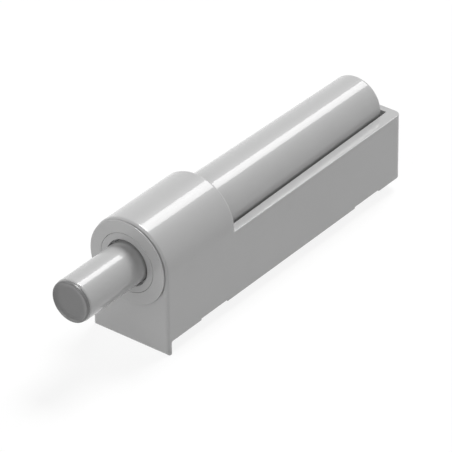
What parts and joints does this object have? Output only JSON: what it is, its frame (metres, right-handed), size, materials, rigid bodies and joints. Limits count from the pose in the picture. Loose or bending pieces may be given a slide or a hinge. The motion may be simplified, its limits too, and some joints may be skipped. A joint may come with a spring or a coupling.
{
  "type": "soft close damper",
  "caption": "Soft close damper for a cabinet door: a spring-returned hydraulic plunger in a tapered sleeve, held in a screw-on housing with a round collar, a trough and a hooked front lip.",
  "frame": {"origin": "middle of the two screw holes, on the base plane, on the mid-plane of the housing", "axes": "+X across the housing, +Y from the plunger's tip towards the rear and the way the plunger is pushed in, +Z from the base up to the damper"},
  "size_m": [0.0136, 0.068, 0.02],
  "materials": {
    "housing_grey": "moulded ABS, polished mould",
    "damper_grey": "moulded ABS, polished mould",
    "plunger_grey": "moulded acetal, polished mould",
    "bush_grey": "moulded acetal, satin",
    "buffer_rubber": "moulded elastomer, smooth",
    "rod_steel": "ground steel",
    "spring_steel": "drawn spring wire",
    "acetal_white": "natural acetal, satin",
    "seal_rubber": "black nitrile",
    "foam_grey": "closed-cell foam"
  },
  "bodies": {
    "holder": {"adapter_housing": "housing_grey", "damper_sleeve": "damper_grey", "guide_bush": "bush_grey", "rod_anchor": "acetal_white", "piston_rod": "rod_steel", "piston": "acetal_white", "piston_ring": "acetal_white", "valve_disc": "rod_steel", "spring_seat": "acetal_white", "piston_clip": "rod_steel", "return_spring": "spring_steel"},
    "plunger": {"plunger_cylinder": "plunger_grey", "buffer_cap": "buffer_rubber", "foam_separator": "acetal_white", "compensator_foam": "foam_grey", "seal_washer": "rod_steel", "rod_seal": "seal_rubber", "rod_guide": "acetal_white", "guide_o_ring": "seal_rubber", "cylinder_cap": "acetal_white"}
  },
  "joints": [
    {"name": "plunger_slide", "type": "slide", "parent": "holder", "child": "plunger", "axis": [0, 1, 0], "range_m": [0, 0.0108], "stiffness_N_per_m": 150, "springref_m": -0.006, "deforming": ["return_spring"]}
  ]
}
